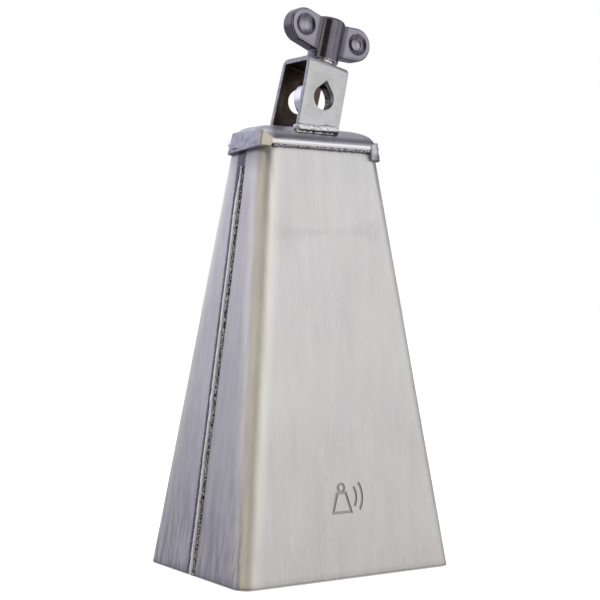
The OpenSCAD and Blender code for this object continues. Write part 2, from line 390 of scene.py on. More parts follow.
def flat_ring(radius, height):
    """A thin upright ring of one line's width, round the Y axis at this height."""
    bpy.ops.mesh.primitive_cylinder_add(vertices=64, radius=radius, depth=4 * SIGN_DEPTH,
                                        location=(0, 0, height), rotation=(math.pi / 2, 0, 0))
    outer = added("ring")
    bpy.ops.mesh.primitive_cylinder_add(vertices=64, radius=radius - SIGN_LINE,
                                        depth=6 * SIGN_DEPTH, location=(0, 0, height),
                                        rotation=(math.pi / 2, 0, 0))
    return cut(outer, added("hole"))


def sign_cutter():
    """The sign as a solid on Z=0, thick enough to stand well out of the face it cuts."""
    foot, head, tall = (SIGN_HEIGHT * share for share in (SIGN_FOOT, SIGN_HEAD, SIGN_TALL))
    bell = tapered_block(foot, head, tall)
    hollow = tapered_block(foot - 2.6 * SIGN_LINE, head - 2.0 * SIGN_LINE, tall - 2 * SIGN_LINE)
    hollow.data.transform(Matrix.Translation((0, 0, SIGN_LINE)))
    hollow.data.transform(Matrix.Scale(2, 4, (0, 1, 0)))
    cut(bell, hollow)
    loop_radius = SIGN_HEIGHT * SIGN_LOOP
    cut(bell, flat_ring(loop_radius, tall - SIGN_LINE / 2 + loop_radius), "UNION")
    for share in SIGN_STROKES:
        radius = SIGN_HEIGHT * share
        stroke = flat_ring(radius, SIGN_HEIGHT / 2)
        wedge_length = radius * WEDGE_REACH
        wedge = tapered_block(0.1 * MM, WEDGE_SPREAD * wedge_length, wedge_length)
        wedge.data.transform(Matrix.Translation((0, 0, SIGN_HEIGHT / 2))
                             @ Matrix.Rotation(math.pi / 2, 4, "Y"))
        wedge.data.transform(Matrix.Scale(2, 4, (0, 1, 0)))
        cut(stroke, wedge, "INTERSECT")
        bell = joined("sign", [bell, stroke])
    return bell


sign = sign_cutter()
sign_face = -mouth_depth / 2 + SIGN_MIDDLE * face_slope
sign.data.transform(Matrix.Translation((SIGN_SHIFT, sign_face + SIGN_DEPTH, SIGN_MIDDLE))
                    @ Matrix.Rotation(-math.atan(face_slope), 4, "X")
                    @ Matrix.Translation((0, -2 * SIGN_DEPTH, -SIGN_HEIGHT / 2)))
cut(front_shell, sign)
for shell in (front_shell, rear_shell):
    smooth(shell)
fitted(front_shell, "bell", "body_steel", "front_shell")
fitted(rear_shell, "bell", "body_steel", "rear_shell")

# %% [markdown]
# ## The cap
#
# The cap is pressed from sheet: an upright lip, a hollow cove above it, and a low crown. A
# block with bevels could give the lip but not the cove, so the cap grows from a plane with
# rounded corners. Each extrude lifts the face to the next height and shrinks it, and a
# subdivision surface runs a smooth skin through those rings.

# %% Cap
CAP_CORNER_RADIUS = 8 * MM
CAP_THICKNESS = 2 * MM
CAP_DENTS = 0.5 * MM
CAP_DENT_SIZE = 16 * MM
# in mm: the inset of each ring in X and in Y, and its height over the sheet body
CAP_RINGS = [(1.6, 1.6, 0), (0.3, 0.3, 0.5), (0, 0, 1.3), (0, 0, 2.5), (0.5, 0.6, 3.3), (1, 1.9, 4),
             (1.5, 3.5, 5.6), (2.4, 5.1, 7.5), (4.5, 8, 9.2), (9, 11.5, 10.5), (16, 15.3, 11.1)]


def top_cap():
    """The pressed cap, from the foot of its lip to the flat of its crown."""
    half_x, half_y = cap_width / 2, cap_depth / 2
    inset_x, inset_y, _ = (v * MM for v in CAP_RINGS[0])
    bpy.ops.mesh.primitive_plane_add(size=1, location=(0, 0, body_height))
    cap = added("top_cap_pressing")
    edit(cap)
    bpy.ops.mesh.select_all(action="SELECT")
    bpy.ops.transform.resize(value=(2 * (half_x - inset_x), 2 * (half_y - inset_y), 1),
                             center_override=(0, 0, body_height))
    bpy.ops.mesh.bevel(offset=CAP_CORNER_RADIUS, segments=8, affect="VERTICES")
    last_x, last_y, last_z = half_x - inset_x, half_y - inset_y, 0
    for ring in CAP_RINGS[1:]:
        inset_x, inset_y, height = (v * MM for v in ring)
        bpy.ops.mesh.extrude_region()
        bpy.ops.transform.translate(value=(0, 0, height - last_z))
        bpy.ops.transform.resize(value=((half_x - inset_x) / last_x, (half_y - inset_y) / last_y, 1),
                                 center_override=(0, 0, 0))
        last_x, last_y, last_z = half_x - inset_x, half_y - inset_y, height
    pick_faces(cap, lambda at, normal: at.z < body_height + 0.01 * MM)
    bpy.ops.mesh.delete(type="FACE")
    leave_edit()
    outward(cap)
    modified(cap, "SUBSURF", levels=2, render_levels=2)
    roughened(cap, CAP_DENT_SIZE, CAP_DENTS, seed=5, middle=0.8)
    modified(cap, "SOLIDIFY", thickness=CAP_THICKNESS, offset=-1)
    return smooth(cap, 50)


fitted(top_cap(), "bell", "cap_steel", "top_cap")

# %% [markdown]
# ## Welds
#
# A weld is molten metal that froze in ripples, so none of its lines is straight. A bead could
# be sculpted by hand, but noise does it the same way each time: each bead here is a primitive
# with many small faces, pushed about by two sizes of noise. The thick welds over the ends of
# the cap were ground flat afterwards, so the points past the grinding planes are pressed back.

# %% End welds of the cap
WELD_REAR = 14 * MM               # both stop short of the cap's rear corners
REAR_ROUNDING = 5.5 * MM
WELD_OVERFILL = 0.3 * MM          # this much is ground away again
COVE_HEIGHT = 3.2 * MM            # at its inner front edge the weld only fills the cove
WELD_TAPER = (0.82, 0.93, 1)      # how much narrower its top is than its foot
WELD_VOXEL = 0.33 * MM
PIT_RADII = (0.7 * MM, 2.6 * MM, 0.45 * MM)


def end_weld(name, side, width, reach, front, low, high, rounding, edge, seed, lift=0):
    """Thick weld over one end of the cap, ground flat at its outer reach and at the front.

    It runs from low to high, measured from the top of the sheet body; lift raises its front
    foot, rounding is the radius of its front corner in plan, and edge that of its edges."""
    inner = reach - width
    bpy.ops.object.select_all(action="DESELECT")
    bpy.ops.mesh.primitive_cube_add(
        size=1, location=(side * (inner + reach + WELD_OVERFILL) / 2, (front + WELD_REAR) / 2,
                          body_height + (low + high) / 2),
        scale=(width + WELD_OVERFILL, WELD_REAR - front + WELD_OVERFILL, high - low))
    weld = added(name)
    edit(weld)
    pick_faces(weld, lambda at, normal: normal.z > 0.9)
    bpy.ops.transform.resize(value=WELD_TAPER, center_override=(side * inner, front, 0))
    pick_points(weld, lambda at: at.z < body_height and at.y < 0)
    bpy.ops.transform.translate(value=(0, 0, lift))
    pick_points(weld, lambda at: at.z > body_height and at.y < 0 and at.x * side < reach - 3 * MM)
    bpy.ops.transform.translate(value=(0, 0, COVE_HEIGHT - high))
    pick_edges(weld, lambda at, along, length:
               abs(along.z) > 0.7 and at.x * side > inner + 1 * MM and at.y < 0)
    bpy.ops.mesh.bevel(offset=rounding, segments=8, affect="EDGES")
    pick_edges(weld, lambda at, along, length:
               abs(along.z) > 0.7 and at.x * side > inner + 1 * MM and at.y > WELD_REAR - 3 * MM)
    bpy.ops.mesh.bevel(offset=REAR_ROUNDING, segments=8, affect="EDGES")
    leave_edit()
    edges_rounded(weld, edge, 4)
    melted(weld, WELD_VOXEL)
    roughened(weld, 7 * MM, 0.9 * MM, seed=seed)
    roughened(weld, 2 * MM, 0.16 * MM, seed=seed + 1)
    softened(weld, 2)
    edit(weld)
    pick_points(weld, lambda at: at.x * side > reach)
    bpy.ops.transform.resize(value=(0, 1, 1), center_override=(side * reach, 0, 0))
    pick_points(weld, lambda at: at.y < front)
    bpy.ops.transform.resize(value=(1, 0, 1), center_override=(0, front, 0))
    leave_edit()
    return cut(weld, bell_block("core"))


left_reach = cap_width / 2 + 0.9 * MM
left_end = end_weld("left_cap_end_weld", -1, width=6.2 * MM, reach=left_reach,
                    front=-cap_depth / 2 - 0.05 * MM, low=-3.4 * MM, high=6.8 * MM,
                    rounding=1.5 * MM, edge=0.7 * MM, seed=2, lift=2.8 * MM)
# the ground face of the left weld shows one long pit
bpy.ops.mesh.primitive_uv_sphere_add(radius=1, segments=24, ring_count=12, scale=PIT_RADII,
                                     location=(-left_reach, 4 * MM, body_height - 1 * MM))
cut(left_end, added("pit"))
right_end = end_weld("right_cap_end_weld", 1, width=9.6 * MM, reach=cap_width / 2 + 0.3 * MM,
                     front=-cap_depth / 2 - 0.2 * MM, low=-4.2 * MM, high=5.4 * MM,
                     rounding=9.2 * MM, edge=1.6 * MM, seed=6)
for weld, node in ((left_end, "left_cap_weld"), (right_end, "right_cap_weld")):
    smooth(weld, 60)
    fitted(weld, "bell", "cap_weld", node)

# %% [markdown]
# Under the long lips, the cap is held by a thin line of weld in the corner between the lip and
# the sheet. It is too thin for a voxel skin, which would need very small squares. So it is a
# rod of many rings, and noise about as coarse as the rod is thick makes it lumpy.

# %% Beads under the long lips
LIP_BEAD_RADIUS = 0.85 * MM
LIP_BEAD_RUN = top_width - 10 * MM
LIP_BEAD_CUTS = 160


def lip_weld(name, side, seed):
    """The thin rough line in the corner between the sheet and the lip."""
    bpy.ops.object.select_all(action="DESELECT")
    bpy.ops.mesh.primitive_cylinder_add(
        vertices=14, radius=LIP_BEAD_RADIUS, depth=LIP_BEAD_RUN,
        location=(0, side * (top_depth / 2 + 0.5 * MM), body_height + 0.2 * MM),
        rotation=(0, math.pi / 2, 0))
    bead = added(name)
    edit(bead)
    pick_edges(bead, lambda at, along, length: abs(along.x) > 0.9)
    bpy.ops.mesh.subdivide(number_cuts=LIP_BEAD_CUTS)
    leave_edit()
    roughened(bead, 1.5 * MM, 0.9 * MM, seed=seed, middle=0.6)
    return smooth(bead, 70)


fitted(lip_weld("front_lip_weld", -1, 1), "bell", "cap_weld", "front_cap_weld")
fitted(lip_weld("rear_lip_weld", 1, 4), "bell", "cap_weld", "rear_cap_weld")

# %% [markdown]
# The seam down each side was welded and then brushed only on its crest. So it has a narrow
# bright ridge that wanders a little, and beside it a strip of dark, rough scale. One bead with
# two colours would put both on one ridge, so the crest and the scale are two strands.

# %% Side seams
SEAM_RUN = 192 * MM
SEAM_FOOT = 0.4 * MM              # it starts this far above the mouth
SEAM_CUTS = 330
SEAM_TAPER = 14 * MM              # the top of the bead thins out over this length
SEAM_TIP = 0.4                    # to this share of its width
SEAM_SWAY = 1.1 * MM              # how far the welder's hand wandered
SEAM_SWAY_LENGTH = 24 * MM
CREST_RADIUS = 1.05 * MM
SCALE_RADIUS = 1.1 * MM


def strand(name, radius, middle, flatness, lumps, lump_height, seed):
    """One long bead along Z, standing out along +X from a sheet that lies at X=0."""
    bpy.ops.object.select_all(action="DESELECT")
    bpy.ops.mesh.primitive_cylinder_add(vertices=14, radius=radius, depth=SEAM_RUN,
                                        location=(0, middle, SEAM_RUN / 2 + SEAM_FOOT),
                                        scale=(flatness, 1, 1))
    bead = added(name)
    edit(bead)
    pick_edges(bead, lambda at, along, length: abs(along.z) > 0.9)
    bpy.ops.mesh.subdivide(number_cuts=SEAM_CUTS)
    pick_points(bead, lambda at: at.z > SEAM_RUN - 4 * MM)
    bpy.ops.transform.resize(value=(SEAM_TIP, SEAM_TIP, 1), center_override=(0, middle, 0),
                             use_proportional_edit=True, proportional_size=SEAM_TAPER)
    leave_edit()
    roughened(bead, lumps, lump_height, seed=seed)
    roughened(bead, SEAM_SWAY_LENGTH, SEAM_SWAY, seed=seed, direction="Y")
    return smooth(bead, 70)


def seam_weld(name, side, seed):
    """Crest and scale of one seam, laid against the leaning side of the body."""
    crest = strand(name, CREST_RADIUS, side * 0.5 * MM, flatness=1.15, lumps=2.4 * MM,
                   lump_height=0.5 * MM, seed=seed)
    scale = strand("scale", SCALE_RADIUS, -side * 1.25 * MM, flatness=0.3, lumps=1 * MM,
                   lump_height=0.6 * MM, seed=seed)
    crest.data.materials.append(bpy.data.materials.new("crest"))
    scale.data.materials.append(bpy.data.materials.new("scale"))
    weld = joined(name, [crest, scale])
    tilt = math.atan(side_slope)
    out = Vector((side * math.cos(tilt), 0, math.sin(tilt)))
    along = Vector((-side * math.sin(tilt), 0, math.cos(tilt)))
    across = along.cross(out)
    lay = Matrix((out, across, along)).transposed().to_4x4()
    weld.data.transform(Matrix.Translation((side * mouth_width / 2, 0, 0)) @ lay)
    return weld


left_seam = seam_weld("left_side_seam", -1, 3)
right_seam = seam_weld("right_side_seam", 1, 8)
fitted(left_seam, "bell", "seam_weld", "left_seam_weld")
fitted(right_seam, "bell", "seam_weld", "right_seam_weld")

# %% [markdown]
# The feet of the bracket are held by short fillet welds. A fillet could be a bent rod like
# the seams, but it is laid puddle by puddle and shows it, so this one is a row of balls that
# overlap, melted into one skin by a voxel remesh.

# %% Foot welds
PUDDLE_STEP = 1.3 * MM
PUDDLE_RADIUS = 2.2 * MM
FOOT_START = -11.3 * MM
FOOT_END = 9.4 * MM
FOOT_MIDDLE = 2.3 * MM            # this far under the foot of the clamp's frame
FOOT_LINE = 12.2 * MM             # from the bracket's middle to the line of the puddles
FOOT_RETURN = (0.6 * MM, 10.4 * MM)     # the last puddle ran round the leg: on, and inwards to
JITTER, HEAVE = 0.2, 0.3          # in mm, how unevenly the puddles lie sideways and upwards
FILLET_VOXEL = 0.22 * MM


def foot_weld(name, side, seed):
    """One fillet of overlapping puddles along the foot of a leg."""
    chance = random.Random(seed)
    count = round((FOOT_END - FOOT_START) / PUDDLE_STEP)
    places = [(FOOT_START + k * PUDDLE_STEP, FOOT_LINE) for k in range(count + 1)]
    places.append((FOOT_START - FOOT_RETURN[0], FOOT_RETURN[1]))
    puddles = []
    for x, y in places:
        bpy.ops.mesh.primitive_uv_sphere_add(
            segments=20, ring_count=12, radius=PUDDLE_RADIUS * chance.uniform(0.85, 1.05),
            location=(x, side * (y + chance.uniform(-JITTER, JITTER) * MM),
                      clamp_foot.z - FOOT_MIDDLE + chance.uniform(-HEAVE, HEAVE) * MM),
            rotation=(0, -0.6, 0), scale=(0.8, 0.85, 1))
        puddles.append(added("puddle"))
    weld = melted(joined(name, puddles), FILLET_VOXEL)
    roughened(weld, 2 * MM, 0.6 * MM, seed=seed)
    roughened(weld, 0.8 * MM, 0.35 * MM, seed=seed + 1)
    softened(weld, 2)
    return smooth(weld, 60)


fitted(foot_weld("front_foot_fillet", -1, 11), "bell", "foot_weld", "front_foot_weld")
fitted(foot_weld("rear_foot_fillet", 1, 12), "bell", "foot_weld", "rear_foot_weld")

# %% [markdown]
# ## The clamp bracket
#
# The bracket is a strap of flat steel bent twice. It could follow a path, but a block that has
# lost its floor and its two open sides is already such a strap without thickness: its two
# upper edges are rounded with a bevel, its feet are spread a little, and Solidify gives it the
# thickness of the bar, with a material of its own for each side and for the cut edges.

# %% Bracket
STRAP_WIDTH = 23.4 * MM
STRAP_DEPTH = 23.6 * MM
STRAP_THICKNESS = 2.5 * MM
BEND_RADIUS = 3.5 * MM
LEG_ROOT = 9 * MM
LEG_TRIM = 4.7 * MM               # the legs are cut level this far under the clamp's foot
LEG_SPLAY = 1.1 * MM
TEARDROP_TIP = 8.7 * MM
SHANK_HOLE_RADIUS = 4.5 * MM


def teardrop():
    """A long cutter along Y: a round bar whose top runs out to a point."""
    bpy.ops.mesh.primitive_cylinder_add(vertices=96, radius=rod_radius, depth=60 * MM,
                                        location=(0, 0, ROD_HEIGHT),
                                        rotation=(math.pi / 2, 0, 0))
    bar = added("teardrop")
    touch = math.acos(rod_radius / TEARDROP_TIP)
    edit(bar)
    pick_points(bar, lambda at: at.z > ROD_HEIGHT + rod_radius * math.cos(touch) - 0.01 * MM)
    mesh = bmesh.from_edit_mesh(bar.data)
    for vert in mesh.verts:
        if vert.select:
            share = abs(vert.co.x) / (rod_radius * math.sin(touch))
            low = rod_radius * math.cos(touch)
            vert.co.z = ROD_HEIGHT + TEARDROP_TIP + (low - TEARDROP_TIP) * min(share, 1)
    bmesh.update_edit_mesh(bar.data)
    leave_edit()
    return bar


def clamp_bracket():
    """The bent strap with its teardrop holes and the hole for the shank."""
    bpy.ops.object.select_all(action="DESELECT")
    bpy.ops.mesh.primitive_cube_add(size=1, location=(0, 0, (BRIDGE_HEIGHT - LEG_ROOT) / 2),
                                    scale=(STRAP_WIDTH, STRAP_DEPTH, BRIDGE_HEIGHT + LEG_ROOT))
    strap = added("rod_clamp_bracket")
    edit(strap)
    pick_faces(strap, lambda at, normal: abs(normal.x) > 0.9 or normal.z < -0.9)
    bpy.ops.mesh.delete(type="FACE")
    pick_edges(strap, lambda at, along, length:
               abs(along.x) > 0.9 and at.z > BRIDGE_HEIGHT - 1 * MM)
    bpy.ops.mesh.bevel(offset=BEND_RADIUS, segments=10, affect="EDGES")
    pick_points(strap, lambda at: at.z < 0)
    spread = (STRAP_DEPTH / 2 + LEG_SPLAY) / (STRAP_DEPTH / 2)
    bpy.ops.transform.resize(value=(1, spread, 1), center_override=(0, 0, 0))
    leave_edit()
    for side_name in ("brushed_outside", "scaled_and_shaded_inside", "sheared_edge"):
        strap.data.materials.append(bpy.data.materials.new(side_name))
    modified(strap, "SOLIDIFY", thickness=STRAP_THICKNESS, offset=-1, material_offset=1,
             material_offset_rim=2)
    cut(strap, teardrop())
    bpy.ops.mesh.primitive_cylinder_add(vertices=64, radius=SHANK_HOLE_RADIUS, depth=20 * MM,
                                        location=(bolt_x, bolt_y, BRIDGE_HEIGHT))
    cut(strap, added("shank_hole"))
    edges_rounded(strap, EDGE_ROUNDING, 2)
    strap.data.transform(to_clamp)
    edit(strap)
    bpy.ops.mesh.select_all(action="SELECT")
    bpy.ops.mesh.bisect(plane_co=(0, 0, clamp_foot.z - LEG_TRIM), plane_no=(0, 0, 1),
                        clear_inner=True, use_fill=True)
    leave_edit()
    return smooth(strap, 30)


fitted(clamp_bracket(), "bell", "bracket_steel", "clamp_bracket")

# %% [markdown]
# ## The eye bolt
#
# The ring's section is a plane with its four corners rounded, spun round the rod. The ring
# and the neck of the shank were forged as one, so a voxel skin joins them. The thread could
# be a spun screw, but its ends are hard to close. So the shank is a cylinder of many rings,
# and each point moves in or out by where it stands on a helix of the thread's pitch, which is
# what a die does to a plain bar.

# %% Eye bolt
RING_RADIUS = 10.2 * MM
RING_BORE = 8 * MM
RING_WIDTH = 6.6 * MM
RING_ROUNDING = 0.9 * MM
NECK_RADIUS = 5.2 * MM
NECK_HEIGHT = 3.4 * MM
SHANK_RADIUS = 3.88 * MM
THREAD_PITCH = 1.25 * MM
THREAD_DEPTH = 0.5 * MM
THREAD_START = RING_RADIUS + 3 * MM     # above the middle of the ring
SHANK_START = RING_BORE + 1.5 * MM
SHANK_TOP = 42 * MM
SHANK_CUTS = 110


def eye_bolt():
    """The ring's section lies in the XY plane and is spun about the Y axis."""
    bpy.ops.object.select_all(action="DESELECT")
    bpy.ops.mesh.primitive_plane_add(size=1, location=((RING_RADIUS + RING_BORE) / 2, 0, 0))
    ring = added("eye_bolt_ring")
    edit(ring)
    bpy.ops.mesh.select_all(action="SELECT")
    bpy.ops.transform.resize(value=(RING_RADIUS - RING_BORE, RING_WIDTH, 1),
                             center_override=((RING_RADIUS + RING_BORE) / 2, 0, 0))
    bpy.ops.mesh.bevel(offset=RING_ROUNDING, segments=5, affect="VERTICES")
    bpy.ops.mesh.spin(steps=96, angle=2 * math.pi, center=(0, 0, 0), axis=(0, 1, 0))
    leave_edit()
    outward(ring)
    ring.data.transform(Matrix.Translation((0, 0, ROD_HEIGHT)))
    bpy.ops.mesh.primitive_cone_add(vertices=64, radius1=NECK_RADIUS, radius2=SHANK_RADIUS,
                                    depth=NECK_HEIGHT,
                                    location=(0, 0, ROD_HEIGHT + RING_RADIUS + 0.6 * MM))
    body = melted(joined("eye_bolt_forging", [ring, added("neck")]), 0.3 * MM)
    softened(body, 6)
    shank_foot = ROD_HEIGHT + SHANK_START
    bpy.ops.mesh.primitive_cylinder_add(vertices=40, radius=SHANK_RADIUS,
                                        depth=SHANK_TOP - shank_foot,
                                        location=(0, 0, (SHANK_TOP + shank_foot) / 2))
    shank = added("shank")
    edit(shank)
    pick_edges(shank, lambda at, along, length: abs(along.z) > 0.9)
    bpy.ops.mesh.subdivide(number_cuts=SHANK_CUTS)
    mesh = bmesh.from_edit_mesh(shank.data)
    for vert in mesh.verts:
        turn = math.atan2(vert.co.y, vert.co.x) / (2 * math.pi)
        groove = abs((vert.co.z / THREAD_PITCH - turn) % 1 - 0.5) * 2
        run_out = min(1, max(0, (vert.co.z - ROD_HEIGHT - THREAD_START) / MM))
        shrink = 1 - THREAD_DEPTH / SHANK_RADIUS * groove * run_out
        vert.co.x *= shrink
        vert.co.y *= shrink
    bmesh.update_edit_mesh(shank.data)
    leave_edit()
    bolt = joined("eye_bolt_and_shank", [body, shank])
    bolt.data.transform(to_clamp @ Matrix.Translation((bolt_x, bolt_y, 0)))
    return smooth(bolt, 40)


fitted(eye_bolt(), "eye_bolt", "bright_plating", "eye_bolt")

# %% [markdown]
# ## The wing nut
#
# The nut is a zinc casting with two thick wings. A wing is the hull of a round, soft-edged
# lobe and the root that meets the barrel. A union would leave a hard line where they meet, so
# both wings and the barrel are melted into one skin and softened, as a casting's corners are.
# Last the shallow dishes and the bore are cut, and the right wing's dishes get a raised ring.
# A narrow collar under the barrel bears on the bracket.

# %% Wing nut
BARREL_RADIUS = 7.75 * MM
BARREL_HEIGHT = 21.8 * MM
BARREL_ROUNDING = 1.5 * MM
COLLAR_RADIUS = 5.6 * MM
COLLAR_HEIGHT = 1 * MM
LOBE_RADIUS = 8.2 * MM
LOBE_REACH = 15.6 * MM
LOBE_HEIGHT = 14.2 * MM
WING_THICKNESS = 8.6 * MM
WING_EDGE = 1.5 * MM
ROOT_LOW = 4.4 * MM
ROOT_HIGH = BARREL_HEIGHT - 1.2 * MM
ROOT_REACH = 5.2 * MM             # inside the barrel
DISH_RADIUS = 5.4 * MM
DISH_DEPTH = 1.6 * MM
DISH_RING = 2.9 * MM
DISH_RING_WIRE = 0.4 * MM
NUT_BORE_RADIUS = 4.0 * MM
NUT_BORE_HEIGHT = 17 * MM
NUT_GAP = 0.3 * MM


def barrel():
    """The barrel, with a soft top edge and a narrow collar to bear on the bracket."""
    bpy.ops.mesh.primitive_cylinder_add(
        vertices=96, radius=BARREL_RADIUS, depth=BARREL_HEIGHT - COLLAR_HEIGHT,
        location=(0, 0, (BARREL_HEIGHT + COLLAR_HEIGHT) / 2))
    body = added("barrel")
    edit(body)
    pick_edges(body, lambda at, along, length: abs(along.z) < 0.1 and at.z > BARREL_HEIGHT / 2)
    bpy.ops.mesh.bevel(offset=BARREL_ROUNDING, segments=6, affect="EDGES")
    pick_faces(body, lambda at, normal: normal.z < -0.9)
    bpy.ops.mesh.inset(thickness=BARREL_RADIUS - COLLAR_RADIUS)
    bpy.ops.mesh.extrude_region()
    bpy.ops.transform.translate(value=(0, 0, -COLLAR_HEIGHT))
    leave_edit()
    return body


def wing(side):
    """One wing: the hull of its lobe and its root."""
    bpy.ops.mesh.primitive_cylinder_add(vertices=64, radius=LOBE_RADIUS, depth=WING_THICKNESS,
                                        location=(side * LOBE_REACH, 0, LOBE_HEIGHT),
                                        rotation=(math.pi / 2, 0, 0))
    lobe = added("lobe")
    edges_rounded(lobe, WING_EDGE, 5)
    bpy.ops.mesh.primitive_cube_add(size=1, location=(side * ROOT_REACH, 0,
                                                      (ROOT_LOW + ROOT_HIGH) / 2),
                                    scale=(1 * MM, WING_THICKNESS - 0.4 * MM, ROOT_HIGH - ROOT_LOW))
    root = added("root")
    modified(root, "BEVEL", width=0.8 * MM, segments=3)
    blade = joined("wing", [lobe, root])
    edit(blade)
    bpy.ops.mesh.select_all(action="SELECT")
    bpy.ops.mesh.convex_hull()
    leave_edit()
    return blade


def wing_nut():
    """The casting with its dishes and its blind bore."""
    bpy.ops.object.select_all(action="DESELECT")
    nut = joined("wing_nut_casting", [barrel(), wing(-1), wing(1)])
    melted(nut, 0.25 * MM)
    softened(nut, 10)
    ball_radius = (DISH_RADIUS ** 2 + DISH_DEPTH ** 2) / (2 * DISH_DEPTH)
    for side in (-1, 1):
        for face in (-1, 1):
            bpy.ops.mesh.primitive_uv_sphere_add(
                segments=96, ring_count=64, radius=ball_radius, rotation=(math.pi / 2, 0, 0),
                location=(side * LOBE_REACH,
                          face * (WING_THICKNESS / 2 + ball_radius - DISH_DEPTH), LOBE_HEIGHT))
            cut(nut, added("dish"))
        if side > 0:
            for face in (-1, 1):
                bpy.ops.mesh.primitive_torus_add(
                    major_radius=DISH_RING, minor_radius=DISH_RING_WIRE, major_segments=72,
                    minor_segments=12, rotation=(math.pi / 2, 0, 0),
                    location=(LOBE_REACH, face * (WING_THICKNESS / 2 - DISH_DEPTH * 0.6),
                              LOBE_HEIGHT))
                nut = joined(nut.name, [nut, added("ring")])
    bpy.ops.mesh.primitive_cylinder_add(vertices=64, radius=NUT_BORE_RADIUS,
                                        depth=2 * NUT_BORE_HEIGHT)
    cut(nut, added("bore"))
    nut.data.transform(to_clamp @ Matrix.Translation((bolt_x, bolt_y, BRIDGE_HEIGHT + NUT_GAP)))
    return smooth(nut, 30)


fitted(wing_nut(), "wing_nut", "black_nickel", "wing_nut")

# %% [markdown]
# ## Finishes
#
# Every surface here is metal. Each finish starts with the colour that the metal throws back
# and the roughness that its working left. Patterns are measured in millimetres on the
# object's own coordinates, so they stay where they are when the bell is turned.
#
# In the nodes below, a Math node works on inputs 0 and 1, and MULTIPLY_ADD adds input 2 to
# their product. A MapRange node stretches input 0 from the range of inputs 1 to 2 onto that of
# inputs 3 to 4, or onto 0 to 1 where none is given, and stops at the ends. A Mix node takes
# its share in input 0 and its two colours in inputs 6 and 7.

# %% Colour and node helpers
def tone(hex_colour):
    """A colour written as sRGB hex, as the linear colour that Blender mixes with."""
    channels = [int(hex_colour[i:i + 2], 16) / 255 for i in (1, 3, 5)]
    return (*(c / 12.92 if c <= 0.04045 else ((c + 0.055) / 1.055) ** 2.4 for c in channels), 1)


def add(tree, kind, inputs=None, out=0, to=None, **settings):
    """Adds a node and gives back its output out, which also feeds the input to.

    Its inputs are numbers, hex colours or other nodes' outputs, and settings are its choices."""
    node = tree.nodes.new("ShaderNode" + kind)
    for key, value in settings.items():
        setattr(node, key, value)
    for key, value in (inputs or {}).items():
        if isinstance(value, bpy.types.NodeSocket):
            tree.links.new(value, node.inputs[key])
        else:
            node.inputs[key].default_value = tone(value) if isinstance(value, str) else value
    if to:
        tree.links.new(node.outputs[out], to)
    return node.outputs[out]


MIXED = {"data_type": "RGBA", "out": 2}      # how a Mix node is set to mix colours


def finish(name, roughness, metallic=1):
    """A plain finish: its material, node tree, shader inputs and the object's coordinates."""
    material = bpy.data.materials.new(name)
    material.use_nodes = True
    tree = material.node_tree
    shader = tree.nodes["Principled BSDF"].inputs
    shader["Metallic"].default_value = metallic
    shader["Roughness"].default_value = roughness
    return material, tree, shader, add(tree, "TexCoord", out="Object")


def grain(tree, place, size, detail=3, stretch=(1, 1, 1)):
    """Noise whose lumps are about this size, longer along the axes that are stretched."""
    mapped = add(tree, "Mapping", {"Vector": place, "Scale": [1 / s for s in stretch]})
    return add(tree, "TexNoise", {"Vector": mapped, "Scale": 1 / size, "Detail": detail})


def dress(names, *materials):
    """Gives each named piece these materials, slot by slot."""
    for name in names:
        slots = bpy.data.objects[name].data.materials
        for k, material in enumerate(materials):
            if k < len(slots):
                slots[k] = material
            else:
                slots.append(material)
        print(name, "is finished in", ", ".join(material.name for material in materials))


# %% [markdown]
# The body was brushed on a belt, which is what its look depends on. Streaks of noise, drawn
# out sixty times along Z, give the scratches. They are drawn coarser than the real grit, or
# they would not show. An anisotropic shader spreads each reflection sideways, as the
# scratches do. A bump alone could do that only with far finer detail than a render can hold.

